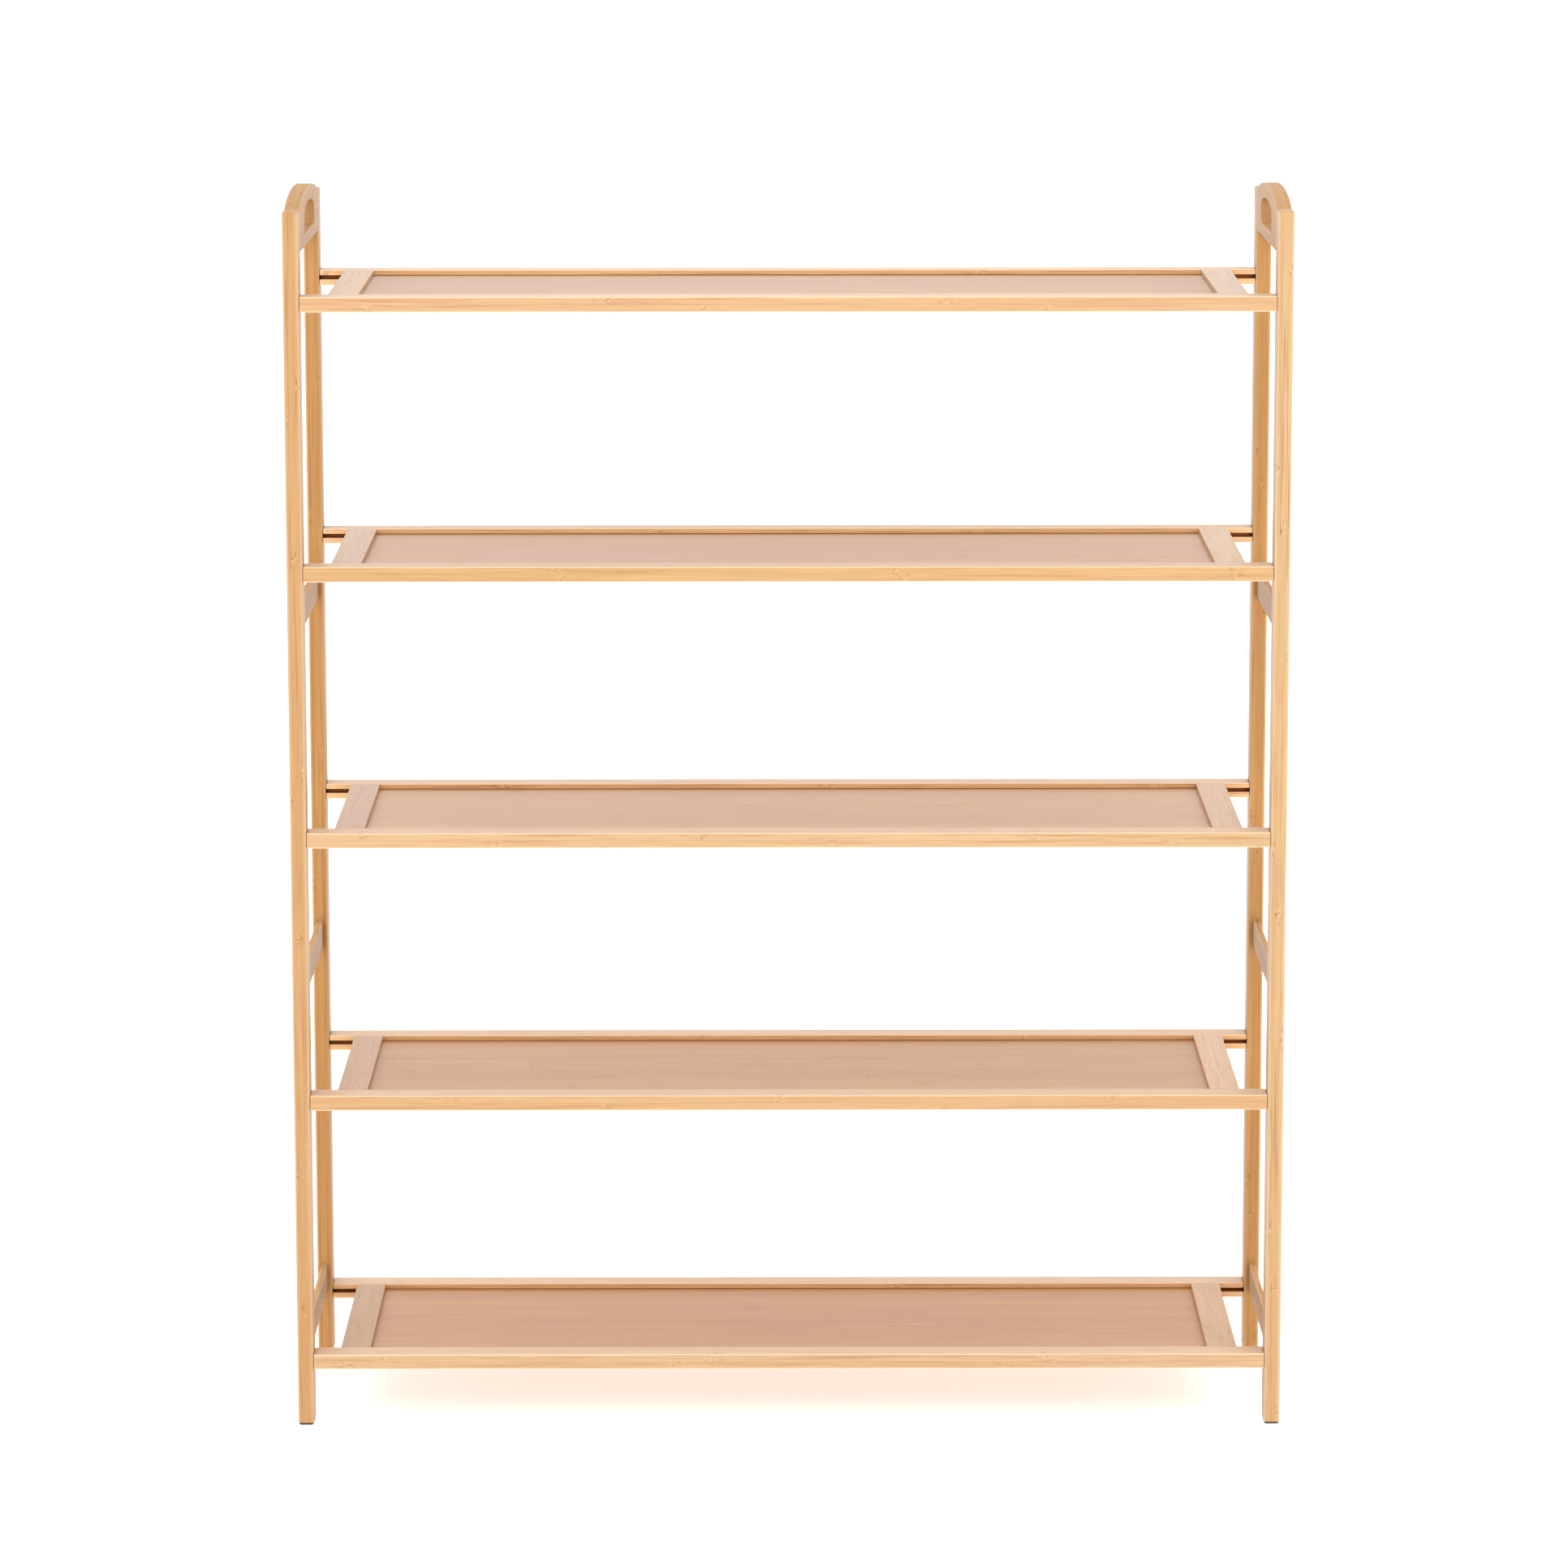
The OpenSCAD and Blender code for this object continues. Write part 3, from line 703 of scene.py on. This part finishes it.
def make_slat(sx, key, seed):
    lo, hi = SLATS[key]
    side = "left" if sx < 0 else "right"
    name = f"{side}_{key}_slat"
    ob = to_object(name + "_stick", mirror(prism(rounded(lo[0], lo[2], hi[0], hi[2], 0.8), "Y", lo[1], hi[1], 0.3, 0.3), sx, 1))
    ob.data.materials.append(bamboo(name + "_bamboo", "Y", seed, GOLD, SIDE_TONE_AND_SHADE, "X", DARK, strip=(12.0, 8.6), v_at=sx * 394.0, w_at=(lo[2] + hi[2]) / 2, value=0.9, side_grain=0.35, coat=0.0, rough=0.6, specular=0.2))
    c, r = (lo[0] + hi[0]) / 2, (hi[0] - lo[0]) / 2 - 0.15
    pts = [Vector((c + r * math.cos(math.pi * q / 10), hi[2] + r * math.sin(math.pi * q / 10))) for q in range(11)]
    pts += [Vector((c - r * math.cos(math.pi * q / 10), lo[2] - r * math.sin(math.pi * q / 10))) for q in range(11)]
    tenons = [mirror(prism(pts, "Y", YI + 0.5, hi[1] - 0.4, 0.15, 0.15, 2), sx, sy) for sy in (-1, 1)]
    boolean(ob, tenons, "UNION")
    finish_piece(ob, [name])


for n, key in enumerate(("lower", "middle", "upper")):
    make_slat(-1, key, 61 + 7 * n)
    make_slat(1, key, 83 + 7 * n)

# ---------------------------------------------------------------- shelves


def make_rail(i, sy, seed, tint):
    y0, y1, z0, z1, x = RAIL[i]
    side = "front" if sy < 0 else "rear"
    name = f"tier{i}_{side}_rail"
    g1, g0 = z1 - GROOVE_UP, z1 - GROOVE_UP - GROOVE_H
    outline = fillet([(y0, z0, 0.7), (y1, z0, 1.2), (y1, z1, 1.2), (y0, z1, 0.7), (y0, g1, 0.25), (y0 + GROOVE_D, g1, 0), (y0 + GROOVE_D, g0, 0), (y0, g0, 0.25)], 5)
    ob = to_object(name + "_stick", mirror(prism(outline, "X", -x, x, 0.45, 0.45), 1, sy))
    ob.data.materials.append(bamboo(name + "_bamboo", "X", seed, tinted(R_GOLD, tint), tinted(R_SIDE, (SIDE_SHADE_LEVEL[i],) * 3), "Z", R_DARK, strip=(8.4, 7.5), v_at=sy * 113.0, w_at=z1 - 2.5, contrast=1.15, edge_highlight=0.95, streak=0.54, node_amount=0.5))
    ob.data.materials.append(hole_mat)
    ob.data.materials.append(groove_mat)
    for p in ob.data.polygons:
        c = p.center * 1000
        if g0 - 0.01 <= c.z <= g1 + 0.01 and y0 + 0.3 < abs(c.y) <= y0 + GROOVE_D + 0.01 and abs(c.x) < x - 0.4 and abs(p.normal.x) < 0.5:
            p.material_index = 2
    cut = []
    for s in (-1, 1):
        pr = [(x + 1, 0), (x + 1, 4.5), (x - 14.2, 4.5), (x - 14.2, 3.3), (x - 21.8, 3.3), (x - 21.8, 0)]
        pr = [(s * a, r) for a, r in pr]
        if s > 0:
            pr.reverse()
        cut.append(revolve(pr, "X", (0, sy * BOLT_Y, z1 - 6.25), 32))
    boolean(ob, cut, cut_material=hole_mat)
    finish_piece(ob, [name])


def make_stile(i, sx, seed, tint):
    y0, y1, z0, z1, x = RAIL[i]
    side = "left" if sx < 0 else "right"
    name = f"tier{i}_{side}_stile"
    g1, g0 = z1 - GROOVE_UP, z1 - GROOVE_UP - GROOVE_H
    outline = fillet([(SX0, z0, 0.5), (SX1, z0, 0.6), (SX1, z1, 0.6), (SX0, z1, 0.5), (SX0, g1, 0.2), (SX0 + GROOVE_D, g1, 0), (SX0 + GROOVE_D, g0, 0), (SX0, g0, 0.2)], 4)
    ob = to_object(name + "_stick", mirror(prism(outline, "Y", -y0, y0, 0.12, 0.12, 2), sx, 1))
    ob.data.materials.append(bamboo(name + "_bamboo", "Y", seed, tinted(R_GOLD, tint), tinted(R_SIDE, tint), "Z", R_DARK, strip=(6.6, 8.6), v_at=sx * 354.0, w_at=z1 - 6.25, node_gap=0.19, side_grain=0.6))
    ob.data.materials.append(groove_mat)
    tongue = prism([Vector((SX0 + GROOVE_D + 1.0, g0 + 0.05)), Vector((SX1 - 0.05, g0 + 0.05)), Vector((SX1 - 0.05, g1 - 0.05)), Vector((SX0 + GROOVE_D + 1.0, g1 - 0.05))], "Y", -y0 - GROOVE_D + 0.5, y0 + GROOVE_D - 0.5, 0.2, 0.2, 2)
    boolean(ob, [mirror(tongue, sx, 1)], "UNION")
    for p in ob.data.polygons:
        c = p.center * 1000
        if g0 - 0.01 <= c.z <= g1 + 0.01 and SX0 + 0.3 < abs(c.x) <= SX0 + GROOVE_D + 0.01 and abs(c.y) < y0:
            p.material_index = 1
    finish_piece(ob, [name])


def make_panel(i, seed, tint):
    lo, hi = mm_box(f"tier{i}_panel")
    name = f"tier{i}_panel"
    ob = to_object(name + "_board", prism([Vector((lo[0], lo[1])), Vector((hi[0], lo[1])), Vector((hi[0], hi[1])), Vector((lo[0], hi[1]))], "Z", lo[2], hi[2] - 0.25, 0.3, 0.3, 2))
    ob.data.materials.append(
        bamboo(name + "_bamboo", "X", seed, tinted(P_GOLD, tint), tinted(P_GOLD[0], tint), "Y", P_DARK, strip=(19.0, 60.0), v_at=0.0, w_at=lo[2], contrast=1.1, streak=0.26, fibre=0.24, painted_corner_shade=0.8, node_gap=0.37, node_amount=0.16, rough=0.50, coat=0.05, bump=0.25, edge_highlight=0.0)
    )
    finish_piece(ob, [name])


for i in range(1, 6):
    make_rail(i, -1, 100 + 13 * i, FRONT_TINT[i])
    make_rail(i, 1, 180 + 17 * i, REAR_LIGHT_TINT[i])
    make_stile(i, -1, 300 + 19 * i, STILE_TINT[-1][i])
    make_stile(i, 1, 410 + 23 * i, STILE_TINT[1][i])
    make_panel(i, 510 + 29 * i, PANEL_TINT_AND_SHADE[i])

# ---------------------------------------------------------------- bolts


def steel(name):
    mat, nt, bsdf = new_material(name)
    k = Net(nt)
    x, y, z = k.object_xyz()
    n = k.noise(k.vec(k.math("MULTIPLY", x, 900.0), k.math("MULTIPLY", y, 900.0), k.math("MULTIPLY", z, 900.0)), 1.0, 4.0, 0.6)
    nt.links.new(k.mix(k.remap(n, 0.3, 0.7), rgb(140, 141, 141), rgb(172, 172, 169)), bsdf.inputs["Base Color"])
    nt.links.new(k.remap(n, 0.3, 0.7, 0.26, 0.42), bsdf.inputs["Roughness"])
    nt.links.new(k.bump(n, 0.2, 0.00005), bsdf.inputs["Normal"])
    bsdf.inputs["Metallic"].default_value = 1.0
    return mat


steel_mat = steel("zinc_plated_steel")


def make_bolt(z):
    """Low round head with a hex socket, and a plain shank, along +X at the right rear."""
    head0, head1 = XO - 2.9, XO - 0.3
    bm = revolve(
        [(XO - 30.9, 0), (XO - 30.9, 2.2), (XO - 30.0, 3.0), (head0, 3.0), (head0, 6.0), (head1 - 0.9, 6.0), (head1 - 0.45, 5.85), (head1 - 0.12, 5.4), (head1, 4.8), (head1, 0)],
        "X",
        (0, BOLT_Y, z),
    )
    me = bpy.data.meshes.new("bolt")
    bm.to_mesh(me)
    bm.free()
    ob = to_object("bolt_tmp", me)
    hexa = [Vector((BOLT_Y + 2.31 * math.cos(math.pi / 3 * q + math.pi / 6), z + 2.31 * math.sin(math.pi / 3 * q + math.pi / 6))) for q in range(6)]
    boolean(ob, [prism(hexa, "X", head1 - 2.0, head1 + 1, 0, 0)])
    out = bmesh.new()
    out.from_mesh(ob.data)
    data = ob.data
    bpy.data.objects.remove(ob)
    bpy.data.meshes.remove(data)
    return out


for i in range(1, 6):
    parts = []
    for sx in (-1, 1):
        for sy in (-1, 1):
            parts.append(mirror(make_bolt(RAIL[i][3] - 6.25), sx, sy))
    ob = to_object(f"tier{i}_bolt_set", merged(parts))
    ob.data.materials.append(steel_mat)
    finish_piece(ob, [f"tier{i}_bolts"])

# ---------------------------------------------------------------- foot pads


def rubber(name):
    mat, nt, bsdf = new_material(name)
    k = Net(nt)
    x, y, z = k.object_xyz()
    n = k.noise(k.vec(k.math("MULTIPLY", x, 1400.0), k.math("MULTIPLY", y, 1400.0), k.math("MULTIPLY", z, 1400.0)), 1.0, 3.0, 0.6)
    dust = k.noise(k.vec(k.math("MULTIPLY", x, 120.0), k.math("MULTIPLY", y, 120.0), k.math("MULTIPLY", z, 200.0)), 1.0, 2.0)
    c = k.mix(k.remap(dust, 0.45, 0.75, 0, 0.35), rgb(30, 29, 28), rgb(74, 70, 66))
    nt.links.new(c, bsdf.inputs["Base Color"])
    nt.links.new(k.remap(n, 0.3, 0.7, 0.62, 0.82), bsdf.inputs["Roughness"])
    nt.links.new(k.bump(n, 0.35, 0.0001), bsdf.inputs["Normal"])
    return mat


rubber_mat = rubber("black_rubber")
for sx, nx in ((-1, "left"), (1, "right")):
    for sy, ny in ((-1, "front"), (1, "rear")):
        node = f"{nx}_{ny}_foot"
        lo, hi = mm_box(node)
        bm = prism(rounded(lo[0], lo[1], hi[0], hi[1], 1.9), "Z", lo[2], hi[2], 0.85, 0.2, 5)
        ob = to_object(node + "_pad", bm)
        ob.data.materials.append(rubber_mat)
        finish_piece(ob, [node])

# ---------------------------------------------------------------- inner hardware, kept from the frame


def zinc(name):
    mat, nt, bsdf = new_material(name)
    k = Net(nt)
    x, y, z = k.object_xyz()
    n = k.noise(k.vec(k.math("MULTIPLY", x, 700.0), k.math("MULTIPLY", y, 700.0), k.math("MULTIPLY", z, 700.0)), 1.0, 3.0)
    nt.links.new(k.mix(k.remap(n, 0.3, 0.7), rgb(190, 168, 104), rgb(214, 196, 140)), bsdf.inputs["Base Color"])
    nt.links.new(k.remap(n, 0.3, 0.7, 0.3, 0.45), bsdf.inputs["Roughness"])
    bsdf.inputs["Metallic"].default_value = 1.0
    return mat


zinc_mat = zinc("yellow_zinc")
dowel_mat = bamboo("dowel_beech", "Y", 7, (rgb(206, 166, 120), rgb(198, 156, 108)), rgb(206, 166, 120), "X", rgb(160, 116, 74), strip=(40, 40), node_amount=0.0, rough=0.6, coat=0.0, edge_highlight=0.0)
for name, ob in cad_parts.items():
    mat = zinc_mat if name.endswith("_inserts") else dowel_mat if name.endswith("_dowels") else None
    if mat:
        if not ob.data.materials:
            ob.data.materials.append(mat)
        for q in range(len(ob.material_slots)):
            ob.material_slots[q].link = "OBJECT"
            ob.material_slots[q].material = mat

# ---------------------------------------------------------------- floor and light

floor_mat, fnt, fb = new_material("pale_floor")
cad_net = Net(fnt)
fx, fy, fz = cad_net.object_xyz()
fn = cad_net.noise(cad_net.vec(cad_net.math("MULTIPLY", fx, 0.6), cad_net.math("MULTIPLY", fy, 0.6), 0.0), 1.0, 2.0)
fnt.links.new(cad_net.mix(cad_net.remap(fn, 0.3, 0.7), (0.94, 0.94, 0.94, 1), (0.96, 0.96, 0.96, 1)), fb.inputs["Base Color"])
fb.inputs["Roughness"].default_value = 0.9
fb.inputs["Emission Color"].default_value = (1, 1, 1, 1)
fb.inputs["Emission Strength"].default_value = 0.48
fb.inputs["Specular IOR Level"].default_value = 0.1
bpy.ops.mesh.primitive_plane_add(size=160, location=(0, 20, -0.0002))
floor = bpy.context.active_object
floor.name = "floor"
floor.data.materials.append(floor_mat)

world = bpy.data.worlds.new("world")
scene.world = world
world.use_nodes = True
bg = world.node_tree.nodes["Background"]
bg.inputs[0].default_value = (1.0, 1.0, 1.0, 1)
bg.inputs[1].default_value = 1.42


def area(name, loc, target, size, power, colour=(1, 1, 1)):
    data = bpy.data.lights.new(name, "AREA")
    data.shape = "RECTANGLE"
    data.size, data.size_y = size
    data.energy = power
    data.color = colour
    ob = bpy.data.objects.new(name, data)
    ob.location = loc
    ob.rotation_euler = (Vector(target) - Vector(loc)).to_track_quat("-Z", "Y").to_euler()
    scene.collection.objects.link(ob)
    return ob


area("key", (-2.2, -4.2, 3.6), (0, 0, 0.5), (2.4, 2.4), 45)
area("fill", (3.0, -4.0, 1.8), (0, 0, 0.5), (2.4, 2.0), 22)

scene.view_settings.view_transform = "Standard"
scene.view_settings.look = "None"
scene.view_settings.exposure = 0.0
scene.view_settings.gamma = 1.0
